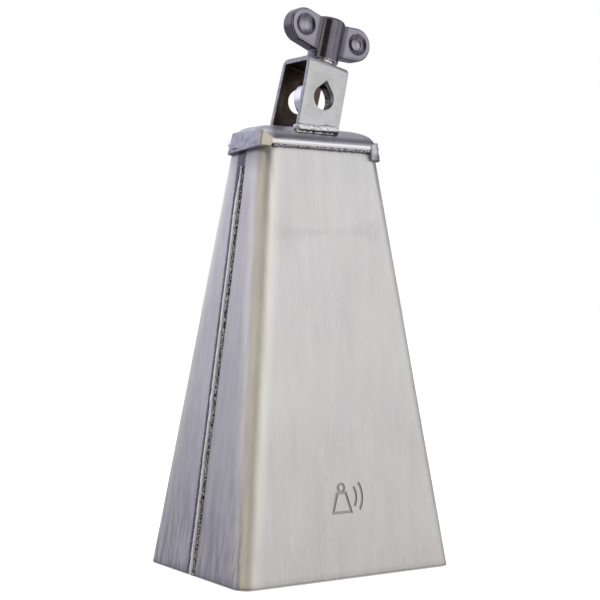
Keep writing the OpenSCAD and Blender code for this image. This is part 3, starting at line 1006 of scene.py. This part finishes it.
# %% Brushed steel of the body
def body_steel():
    """Cold rolled steel, belt brushed from top to bottom and lacquered."""
    material, tree, shader, place = finish("belt_brushed_steel_sheet", 0.42)
    x, y, z = add(tree, "SeparateXYZ", {0: place}).node.outputs
    streaks = grain(tree, place, 0.7 * MM, 4, (1, 1, 60))
    wide_streaks = grain(tree, place, 5 * MM, 3, (1, 1, 16))
    clouds = grain(tree, place, 45 * MM, 2)
    fine = add(tree, "MapRange", {0: streaks, 1: 0.3, 2: 0.7})
    wide = add(tree, "MapRange", {0: wide_streaks, 1: 0.4, 2: 0.75, 3: 0, 4: 0.4})
    pale = add(tree, "MapRange", {0: clouds, 1: 0.35, 2: 0.7, 3: 0, 4: 0.3})
    colour = add(tree, "Mix", {0: fine, 6: "#c0bfbf", 7: "#d4d3d2"}, **MIXED)
    colour = add(tree, "Mix", {0: wide, 6: colour, 7: "#b4b3b6"}, **MIXED)
    colour = add(tree, "Mix", {0: pale, 6: colour, 7: "#dedcd8"}, **MIXED)
    # how far a point lies in from the plane of its side and of its face
    half_width = add(tree, "Math", {0: z, 1: -side_slope, 2: mouth_width / 2},
                     operation="MULTIPLY_ADD")
    half_depth = add(tree, "Math", {0: z, 1: -face_slope, 2: mouth_depth / 2},
                     operation="MULTIPLY_ADD")
    across = add(tree, "Math", {0: x}, operation="ABSOLUTE")
    deep = add(tree, "Math", {0: y}, operation="ABSOLUTE")
    off_side = add(tree, "Math", {0: half_width, 1: across}, operation="SUBTRACT")
    off_face = add(tree, "Math", {0: half_depth, 1: deep}, operation="SUBTRACT")
    # the bends get a faint straw tint, most on the left: part heat tint, part painted warm
    # reflection
    off_corner = add(tree, "Math", {0: off_side, 1: off_face}, operation="ADD")
    near = add(tree, "MapRange", {0: off_corner, 1: 5 * MM, 2: 12 * MM, 3: 1, 4: 0})
    leftward = add(tree, "MapRange", {0: x, 1: 0, 2: 10 * MM, 3: 1, 4: 0.2})
    near = add(tree, "Math", {0: near, 1: leftward}, operation="MULTIPLY")
    patchy = add(tree, "MapRange", {0: wide_streaks, 1: 0.25, 2: 0.6, 3: 0.3, 4: 0.8})
    tint = add(tree, "Math", {0: near, 1: patchy}, operation="MULTIPLY")
    colour = add(tree, "Mix", {0: tint, 6: colour, 7: "#f1ede0"}, **MIXED)
    # the seam left a dark, ragged line in each side
    off_line = add(tree, "Math", {0: y, 1: 1.3 * MM}, operation="SUBTRACT")
    off_line = add(tree, "Math", {0: off_line}, operation="ABSOLUTE")
    ragged = add(tree, "Math", {0: grain(tree, place, 1.2 * MM, 3), 1: 2.4 * MM, 2: off_line},
                 operation="MULTIPLY_ADD")
    seam_shade = add(tree, "MapRange", {0: ragged, 1: 4.2 * MM, 2: 5.4 * MM, 3: 0.9, 4: 0})
    on_side = add(tree, "MapRange", {0: off_side, 1: 0.8 * MM, 2: 2.5 * MM, 3: 1, 4: 0})
    line = add(tree, "Math", {0: seam_shade, 1: on_side}, operation="MULTIPLY")
    colour = add(tree, "Mix", {0: line, 6: colour, 7: "#4f4e57"}, **MIXED)
    # on the sides, darker streaks towards the mouth, and a greyer top
    low_streak_grain = add(tree, "MapRange", {0: grain(tree, place, 2.4 * MM, 4, (1, 1, 40)),
                                   1: 0.4, 2: 0.62})
    low_down = add(tree, "MapRange", {0: z, 1: 4 * MM, 2: 55 * MM, 3: 0.55, 4: 0.1})
    darker_low_streaks = add(tree, "Math", {0: low_streak_grain, 1: low_down}, operation="MULTIPLY")
    darker_low_streaks = add(tree, "Math", {0: darker_low_streaks, 1: on_side}, operation="MULTIPLY")
    colour = add(tree, "Mix", {0: darker_low_streaks, 6: colour, 7: "#7f7e8a"}, **MIXED)
    # the greyer top is partly heat tint from the end welds and partly painted shade under the cap
    high_up = add(tree, "MapRange", {0: z, 1: body_height - 13 * MM, 2: body_height - 3 * MM})
    heat_tint_and_shade = add(tree, "Math", {0: high_up, 1: on_side}, operation="MULTIPLY")
    heat_tint_and_shade = add(tree, "Math", {0: heat_tint_and_shade, 1: 0.5}, operation="MULTIPLY")
    colour = add(tree, "Mix", {0: heat_tint_and_shade, 6: colour, 7: "#6d6c76"}, **MIXED)
    # the floor of the engraved sign is painted darker, as shade in the recess
    off_sign = add(tree, "Math", {0: x, 1: SIGN_SHIFT}, operation="SUBTRACT")
    off_sign = add(tree, "Math", {0: off_sign}, operation="ABSOLUTE")
    beside = add(tree, "MapRange", {0: off_sign, 1: 16 * MM, 2: 17 * MM, 3: 1, 4: 0})
    sunk = add(tree, "MapRange", {0: off_face, 1: 0.28 * MM, 2: 0.42 * MM, 3: 0, 4: 0.6})
    sign_recess_shade = add(tree, "Math", {0: beside, 1: sunk}, operation="MULTIPLY")
    colour = add(tree, "Mix", {0: sign_recess_shade, 6: colour, 7: "#77767a"}, **MIXED)
    # the mouth's edge was deburred: a bright line over a dark one
    wavy = add(tree, "Math", {0: wide_streaks, 1: -0.8 * MM, 2: z}, operation="MULTIPLY_ADD")
    burr = add(tree, "MapRange", {0: wavy, 1: 0.5 * MM, 2: 1.3 * MM, 3: 0.6, 4: 0})
    rim = add(tree, "MapRange", {0: z, 1: 0.35 * MM, 2: 0.6 * MM, 3: 0.9, 4: 0})
    colour = add(tree, "Mix", {0: burr, 6: colour, 7: "#8b8a8c"}, **MIXED)
    add(tree, "Mix", {0: rim, 6: colour, 7: "#f2f1f0"}, to=shader["Base Color"], **MIXED)
    add(tree, "MapRange", {0: streaks, 1: 0.2, 2: 0.8, 3: 0.37, 4: 0.49},
        to=shader["Roughness"])
    shader["Anisotropic"].default_value = 0.75
    add(tree, "Tangent", to=shader["Tangent"], direction_type="RADIAL", axis="Z")
    add(tree, "Bump", {"Height": streaks, "Distance": 0.02 * MM, "Strength": 0.5},
        to=shader["Normal"])
    return material


# cutting the sign may leave an empty slot behind, so the shells start from none
for shell in (front_shell, rear_shell):
    shell.data.materials.clear()
dress(("front_half_shell", "rear_half_shell"), body_steel())


# %% [markdown]
# The cap is the same sheet after pressing, which a belt can't follow, so it was buffed by
# hand along X. One finish could serve the cap and the bracket, but the bracket shows three
# surfaces that were made in three ways: an outside that was linished, an inside that kept its
# mill scale and is painted darker as shade, and edges that a shear tore. It gets a material
# for each.

# %% Cap and bracket steel
def cap_steel():
    """Pressed sheet buffed by hand; straw weld tint at the left front, painted cove shade and lip
    highlight.
    """
    material, tree, shader, place = finish("buffed_cap_steel", 0.3)
    x, y, z = add(tree, "SeparateXYZ", {0: place}).node.outputs
    fine = grain(tree, place, 0.6 * MM, 3, (12, 1, 1))
    clouds = grain(tree, place, 9 * MM, 3)
    scratched = add(tree, "MapRange", {0: fine, 1: 0.3, 2: 0.7})
    dull = add(tree, "MapRange", {0: clouds, 1: 0.4, 2: 0.7, 3: 0, 4: 0.4})
    colour = add(tree, "Mix", {0: scratched, 6: "#c9c9cd", 7: "#d9d9da"}, **MIXED)
    colour = add(tree, "Mix", {0: dull, 6: colour, 7: "#a5a4ab"}, **MIXED)
    # painted shade in the cove, and a painted highlight on the lip below it
    off_cove = add(tree, "Math", {0: z, 1: body_height + 4.9 * MM}, operation="SUBTRACT")
    off_cove = add(tree, "Math", {0: off_cove}, operation="ABSOLUTE")
    cove = add(tree, "MapRange", {0: off_cove, 1: 0.5 * MM, 2: 2 * MM, 3: 0.75, 4: 0})
    lip = add(tree, "MapRange", {0: z, 1: body_height + 2.8 * MM, 2: body_height + 3.8 * MM,
                                 3: 0.85, 4: 0})
    colour = add(tree, "Mix", {0: cove, 6: colour, 7: "#6f6e75"}, **MIXED)
    colour = add(tree, "Mix", {0: lip, 6: colour, 7: "#e6e6e7"}, **MIXED)
    left = add(tree, "MapRange", {0: x, 1: -32 * MM, 2: -26 * MM, 3: 1, 4: 0})
    forward = add(tree, "MapRange", {0: y, 1: -15 * MM, 2: -13 * MM, 3: 1, 4: 0})
    hot = add(tree, "Math", {0: left, 1: forward}, operation="MULTIPLY")
    hot = add(tree, "Math", {0: hot, 1: 0.6}, operation="MULTIPLY")
    add(tree, "Mix", {0: hot, 6: colour, 7: "#d3c9a6"}, to=shader["Base Color"], **MIXED)
    add(tree, "MapRange", {0: clouds, 1: 0.3, 2: 0.7, 3: 0.26, 4: 0.4},
        to=shader["Roughness"])
    add(tree, "Bump", {"Height": fine, "Distance": 0.02 * MM, "Strength": 0.5},
        to=shader["Normal"])
    return material


def bracket_steel():
    """Flat bar with its outside linished and lacquered."""
    material, tree, shader, place = finish("linished_flat_bar", 0.4)
    fine = grain(tree, place, 0.45 * MM, 4, (14, 1, 1))
    clouds = grain(tree, place, 7 * MM, 2)
    scratched = add(tree, "MapRange", {0: fine, 1: 0.3, 2: 0.7})
    pale = add(tree, "MapRange", {0: clouds, 1: 0.4, 2: 0.7, 3: 0, 4: 0.35})
    colour = add(tree, "Mix", {0: scratched, 6: "#adadae", 7: "#bcbcbc"}, **MIXED)
    add(tree, "Mix", {0: pale, 6: colour, 7: "#cac9c8"}, to=shader["Base Color"], **MIXED)
    add(tree, "Bump", {"Height": fine, "Distance": 0.02 * MM, "Strength": 0.4},
        to=shader["Normal"])
    return material


def lumpy_steel(name, light, dark, size, stretch, span, depth, strength):
    """Bar that was never brushed; over this span of the noise its dark tone turns light."""
    material, tree, shader, place = finish(name, 0.42)
    lumps = grain(tree, place, size, 4, stretch)
    share = add(tree, "MapRange", {0: lumps, 1: span[0], 2: span[1]})
    add(tree, "Mix", {0: share, 6: dark, 7: light}, to=shader["Base Color"], **MIXED)
    add(tree, "Bump", {"Height": lumps, "Distance": depth, "Strength": strength},
        to=shader["Normal"])
    return material


# the inside kept the brown skin of hot rolling and is painted darker as shade,
# and the shear tore the edge along Z
inside_scale_and_shade = lumpy_steel("brown_inside_scale_and_shade", "#5b5048", "#4d433c", 0.8 * MM, (6, 6, 1),
                         span=(0.35, 0.65), depth=0.03 * MM, strength=0.6)
sheared_edge = lumpy_steel("sheared_bar_edge", "#a9a8ac", "#77767c", 0.7 * MM, (1, 1, 5),
                           span=(0.35, 0.62), depth=0.1 * MM, strength=0.7)
dress(["top_cap_pressing"], cap_steel())
dress(["rod_clamp_bracket"], bracket_steel(), inside_scale_and_shade, sheared_edge)


# %% [markdown]
# Weld metal freezes in light ripples, and dark scale stays in the hollows that nothing
# cleaned. The scale could be painted from the mesh's own hollows, but the mesh is too coarse
# for the smallest. One noise does both jobs here: its low parts are the hollows of the bump
# and take the dark colour. The ground welds were smoothed, so they are only softly clouded,
# but for a painted highlight and painted shade on the right one.

# %% Weld metal
def weld_metal(name, light, dark, size, share, roughness, depth):
    """Frozen weld metal: light ripples, with dark scale left in part of its hollows."""
    material, tree, shader, place = finish(name, roughness)
    lumps = grain(tree, place, size, 5)
    scale = add(tree, "MapRange", {0: lumps, 1: share - 0.04, 2: share + 0.04, 3: 1, 4: 0})
    add(tree, "Mix", {0: scale, 6: light, 7: dark}, to=shader["Base Color"], **MIXED)
    add(tree, "Bump", {"Height": lumps, "Distance": depth, "Strength": 0.8},
        to=shader["Normal"])
    return material


def ground_weld():
    """Ground weld, softly clouded: straw tint at the left one's front, painted light and shade on
    the right.
    """
    material, tree, shader, place = finish("ground_weld", 0.48)
    x, y, z = add(tree, "SeparateXYZ", {0: place}).node.outputs
    lumps = grain(tree, place, 3 * MM, 4)
    cloudy = add(tree, "MapRange", {0: lumps, 1: 0.35, 2: 0.65})
    colour = add(tree, "Mix", {0: cloudy, 6: "#9d9ca4", 7: "#b8b7bf"}, **MIXED)
    # the right weld gets a painted highlight, and painted shade under the cap's edge
    bright = add(tree, "MapRange", {0: x, 1: 25 * MM, 2: 30 * MM, 3: 0, 4: 0.7})
    colour = add(tree, "Mix", {0: bright, 6: colour, 7: "#e0e0e1"}, **MIXED)
    right_weld = add(tree, "MapRange", {0: x, 1: 25 * MM, 2: 30 * MM})
    shade_below_cap = add(tree, "MapRange", {0: z, 1: body_height - 2 * MM, 2: body_height,
                                       3: 0.7, 4: 0})
    under = add(tree, "Math", {0: right_weld, 1: shade_below_cap}, operation="MULTIPLY")
    colour = add(tree, "Mix", {0: under, 6: colour, 7: "#66656a"}, **MIXED)
    forward = add(tree, "MapRange", {0: y, 1: -18.2 * MM, 2: -16.8 * MM, 3: 0.7, 4: 0})
    left = add(tree, "MapRange", {0: x, 1: -30 * MM, 2: -20 * MM, 3: 1, 4: 0})
    tint = add(tree, "Math", {0: forward, 1: left}, operation="MULTIPLY")
    add(tree, "Mix", {0: tint, 6: colour, 7: "#cbc3ae"}, to=shader["Base Color"], **MIXED)
    add(tree, "Bump", {"Height": lumps, "Distance": 0.08 * MM, "Strength": 0.5},
        to=shader["Normal"])
    return material


def foot_fillet():
    """Bright puddles with dark scale where they meet the leg above and the cap below."""
    material, tree, shader, place = finish("foot_fillet_weld", 0.36)
    height = add(tree, "SeparateXYZ", {0: place}, out="Z")
    lumps = grain(tree, place, 1.4 * MM, 4)
    scale = add(tree, "MapRange", {0: lumps, 1: 0.34, 2: 0.42, 3: 1, 4: 0})
    scale = add(tree, "Math", {0: scale, 1: 0.7}, operation="MULTIPLY")
    off_middle = add(tree, "Math", {0: height, 1: clamp_foot.z - 1.9 * MM},
                     operation="SUBTRACT")
    off_middle = add(tree, "Math", {0: off_middle}, operation="ABSOLUTE")
    ragged = add(tree, "Math", {0: lumps, 1: 1 * MM, 2: off_middle}, operation="MULTIPLY_ADD")
    edge = add(tree, "MapRange", {0: ragged, 1: 1.5 * MM, 2: 2 * MM})
    dark = add(tree, "Math", {0: scale, 1: edge}, operation="MAXIMUM")
    add(tree, "Mix", {0: dark, 6: "#dadadc", 7: "#46444a"}, to=shader["Base Color"], **MIXED)
    add(tree, "Bump", {"Height": lumps, "Distance": 0.15 * MM, "Strength": 0.8},
        to=shader["Normal"])
    return material


crest_metal = weld_metal("brushed_weld_crest", "#f1f1f0", "#c2c2c6", size=1.6 * MM,
                         share=0.36, roughness=0.42, depth=0.08 * MM)
scale_metal = weld_metal("black_weld_scale", "#c4c4c6", "#2f2d34", size=0.9 * MM,
                         share=0.52, roughness=0.5, depth=0.3 * MM)
lip_metal = weld_metal("unground_weld", "#b4b4b8", "#55535a", size=0.7 * MM,
                       share=0.5, roughness=0.45, depth=0.2 * MM)
dress(("left_side_seam", "right_side_seam"), crest_metal, scale_metal)
dress(("front_lip_weld", "rear_lip_weld"), lip_metal)
dress(("left_cap_end_weld", "right_cap_end_weld"), ground_weld())
dress(("front_foot_fillet", "rear_foot_fillet"), foot_fillet())


# %% [markdown]
# The eye bolt is plated with bright zinc, and the nut with black nickel. Both are thin, clean
# metal over metal, so no coat is needed: a low roughness does it, and a slow noise in the
# roughness keeps the reflections from looking like glass. The painted shade in the eye's bore
# and the painted highlights on the nut's wing faces, dish middles and collar are worked out
# from the piece's own shape, such as how far a point lies from the middle of a dish, and not
# painted by hand.

# %% Plating
def from_centre(tree, across, up, middle_x, middle_z):
    """Distance from a line along Y, whose place is given in X and Z."""
    squares = []
    for coordinate, middle in ((across, middle_x), (up, middle_z)):
        off = add(tree, "Math", {0: coordinate, 1: middle}, operation="SUBTRACT")
        squares.append(add(tree, "Math", {0: off, 1: off}, operation="MULTIPLY"))
    total = add(tree, "Math", dict(enumerate(squares)), operation="ADD")
    return add(tree, "Math", {0: total}, operation="SQRT")


def zinc_plating():
    """Bright zinc outside, with painted shade and streaks of painted reflection in the eye's bore.
    """
    material, tree, shader, place = finish("bright_zinc_plating", 0.18)
    cloud = grain(tree, place, 4 * MM, 3)
    x, _, z = add(tree, "SeparateXYZ", {0: place}).node.outputs
    eye = to_clamp @ Vector((bolt_x, 0, ROD_HEIGHT))
    # the eye's bore is painted dark as shade, with streaks standing for its reflections
    bore = add(tree, "MapRange", {0: from_centre(tree, x, z, eye.x, eye.z),
                                  1: RING_BORE + 0.15 * MM, 2: RING_BORE + 0.5 * MM,
                                  3: 1, 4: 0})
    bore_reflection_streaks = grain(tree, place, 0.6 * MM, 3, (1, 8, 1))
    streaked = add(tree, "MapRange", {0: bore_reflection_streaks, 1: 0.45, 2: 0.7})
    bore_shade = add(tree, "Mix", {0: streaked, 6: "#3c322e", 7: "#8a8078"}, **MIXED)
    plated = add(tree, "Mix", {0: cloud, 6: "#d6d5dc", 7: "#e6e5ea"}, **MIXED)
    add(tree, "Mix", {0: bore, 6: plated, 7: bore_shade}, to=shader["Base Color"], **MIXED)
    add(tree, "MapRange", {0: cloud, 1: 0.3, 2: 0.7, 3: 0.14, 4: 0.24},
        to=shader["Roughness"])
    return material


def black_nickel():
    """Black nickel; painted highlights make the wing faces and dish middles paler and the collar
    white.
    """
    material, tree, shader, place = finish("black_nickel_plating", 0.17)
    waves = grain(tree, place, 3.5 * MM, 2)
    skin = grain(tree, place, 0.5 * MM, 3)
    # the nut's own upright coordinates, with its axis on Z and its wings along X
    back = (to_clamp @ Matrix.Translation((bolt_x, bolt_y, BRIDGE_HEIGHT + NUT_GAP))).inverted()
    upright = add(tree, "Mapping", {"Vector": place, "Rotation": back.to_euler(),
                                    "Location": back.translation})
    x, y, z = add(tree, "SeparateXYZ", {0: upright}).node.outputs
    reach = add(tree, "Math", {0: x}, operation="ABSOLUTE")
    deep = add(tree, "Math", {0: y}, operation="ABSOLUTE")
    # the wings' flat faces and the dishes' middles are paler: painted highlights
    on_wing = add(tree, "MapRange", {0: reach, 1: 8 * MM, 2: 9.5 * MM})
    on_face = add(tree, "MapRange", {0: deep, 1: 3.2 * MM, 2: 4.1 * MM})
    face = add(tree, "Math", {0: on_wing, 1: on_face}, operation="MULTIPLY")
    off_dish = from_centre(tree, reach, z, LOBE_REACH, LOBE_HEIGHT)
    outside = add(tree, "MapRange", {0: off_dish, 1: DISH_RADIUS - 0.5 * MM,
                                     2: DISH_RADIUS + 0.3 * MM})
    face_highlight = add(tree, "Math", {0: face, 1: outside}, operation="MULTIPLY")
    middle = add(tree, "MapRange", {0: off_dish, 1: 1.5 * MM, 2: 4 * MM, 3: 0.8, 4: 0})
    foot = add(tree, "MapRange", {0: z, 1: COLLAR_HEIGHT + 0.1 * MM,
                                  2: COLLAR_HEIGHT + 0.3 * MM, 3: 1, 4: 0})
    colour = add(tree, "Mix", {0: waves, 6: "#57545c", 7: "#6b6872"}, **MIXED)
    colour = add(tree, "Mix", {0: face_highlight, 6: colour, 7: "#8d8b95"}, **MIXED)
    colour = add(tree, "Mix", {0: middle, 6: colour, 7: "#9796a2"}, **MIXED)
    # the collar is painted nearly white, a painted highlight under the nut
    add(tree, "Mix", {0: foot, 6: colour, 7: "#e6e6ea"}, to=shader["Base Color"], **MIXED)
    add(tree, "MapRange", {0: skin, 1: 0.3, 2: 0.7, 3: 0.14, 4: 0.24},
        to=shader["Roughness"])
    add(tree, "Bump", {"Height": waves, "Distance": 0.06 * MM, "Strength": 0.5},
        to=shader["Normal"])
    return material


dress(["eye_bolt_and_shank"], zinc_plating())
dress(["wing_nut_casting"], black_nickel())

# %% [markdown]
# ## Light and floor
#
# Metal shows what is round it, so the studio matters as much as the finish. Softboxes alone
# would leave black gaps in the reflections, so the surroundings are a ring of light painted by
# compass direction. A wide white wall stands at the right front, a cooler one at the left
# back, and between them, round the camera, the room is dark but for a narrow warm strip. Only
# the camera sees plain white.

# %% Surroundings
# compass direction in degrees from the front, positive to the right, its light above the
# horizon and its light below
ROOM = [(-180, "#eaeafa", "#9a9aa8"), (-158, "#f0f0ff", "#a0a0ae"), (-128, "#f0f0ff", "#a0a0ae"),
        (-104, "#d4d3e0", "#95949f"), (-95, "#5a585e", "#525056"), (-80, "#4a4749", "#464344"),
        (-75, "#fff8e4", "#e4dcc6"), (-59, "#fff8e4", "#e4dcc6"), (-54, "#4c4845", "#484441"),
        (-14, "#5a5759", "#545153"), (-7, "#ffffff", "#e2e0de"), (24, "#ffffff", "#e2e0de"),
        (31, "#cfcfd2", "#c0bebd"), (47, "#cfcfd2", "#c0bebd"), (54, "#ffffff", "#e2e0de"),
        (70, "#ffffff", "#e2e0de"), (80, "#9a99a4", "#7a7982"), (120, "#72717c", "#64636c"),
        (180, "#eaeafa", "#9a9aa8")]
ROOM_STRENGTH = 1.38


def compass_ring(tree, around, column):
    """A colour ramp through one column of ROOM."""
    ring = add(tree, "ValToRGB", {"Fac": around})
    stops = ring.node.color_ramp.elements
    stops[0].position, stops[0].color = 0, tone(ROOM[0][column])
    stops[1].position, stops[1].color = 1, tone(ROOM[-1][column])
    for row in ROOM[1:-1]:
        stops.new((row[0] + 180) / 360).color = tone(row[column])
    return ring


def surroundings():
    """The room as the metal sees it, and plain white as the camera sees it."""
    world = bpy.data.worlds.new("studio")
    bpy.context.scene.world = world
    world.use_nodes = True
    tree = world.node_tree
    tree.nodes.remove(tree.nodes["Background"])
    x, y, z = add(tree, "SeparateXYZ", {0: add(tree, "TexCoord", out="Generated")}).node.outputs
    ahead = add(tree, "Math", {0: y, 1: -1.0}, operation="MULTIPLY")
    turn = add(tree, "Math", {0: x, 1: ahead}, operation="ARCTAN2")
    around = add(tree, "MapRange", {0: turn, 1: -math.pi, 2: math.pi})
    rise = add(tree, "MapRange", {0: z, 1: -0.05, 2: 0.2})
    overhead = add(tree, "MapRange", {0: z, 1: 0.45, 2: 0.8})
    ring = add(tree, "Mix", {0: rise, 6: compass_ring(tree, around, 2),
                             7: compass_ring(tree, around, 1)}, **MIXED)
    light = add(tree, "Mix", {0: overhead, 6: ring, 7: "#9b9aa2"}, **MIXED)
    room = add(tree, "Background", {"Color": light, "Strength": ROOM_STRENGTH})
    white = add(tree, "Background", {"Color": "#ffffff", "Strength": 1.0})
    seen = add(tree, "LightPath", out="Is Camera Ray")
    add(tree, "MixShader", {0: seen, 1: room, 2: white},
        to=tree.nodes["World Output"].inputs["Surface"])
    print("a room of", len(ROOM), "painted directions")


surroundings()

# %% [markdown]
# Two lamps add what the painted room can't: light that falls off from right to left and from
# the top down. They could be small and strong, but those leave hard spots on brushed steel, so
# they are wide and weak.

# %% Lights
def softbox(name, place, aim, size, power):
    """A square white lamp that points at aim and is not seen itself."""
    bpy.ops.object.light_add(type="AREA", location=place)
    box = bpy.context.object
    box.name = name
    box.rotation_euler = (Vector(aim) - Vector(place)).to_track_quat("-Z", "Y").to_euler()
    box.data.size = size
    box.data.energy = power
    box.visible_camera = False
    print(name, "light:", size, "m wide,", power, "W")


softbox("key", (0.75, -1.05, 0.55), (0, 0, 0.12), 0.9, 0.7)
softbox("overhead", (0, 0, 1.4), (0, 0, 0), 1.2, 3)

# %% [markdown]
# The floor is matt white paper. It glows a little by itself, which costs no light and keeps it
# as pale as the background, and it is hidden from reflections, because the painted room
# already says what the metal sees below the horizon.

# %% Floor
bpy.ops.mesh.primitive_circle_add(vertices=96, radius=6, fill_type="NGON")
floor = added("studio_floor")
floor.visible_glossy = False
paper, _, surface, _ = finish("white_paper", 0.9, metallic=0)
surface["Base Color"].default_value = tone("#f4f4f4")
surface["Specular IOR Level"].default_value = 0.1
surface["Emission Color"].default_value = tone("#ffffff")
surface["Emission Strength"].default_value = 0.75
floor.data.materials.append(paper)
bpy.context.scene.view_settings.view_transform = "Standard"
print("floor of", paper.name)
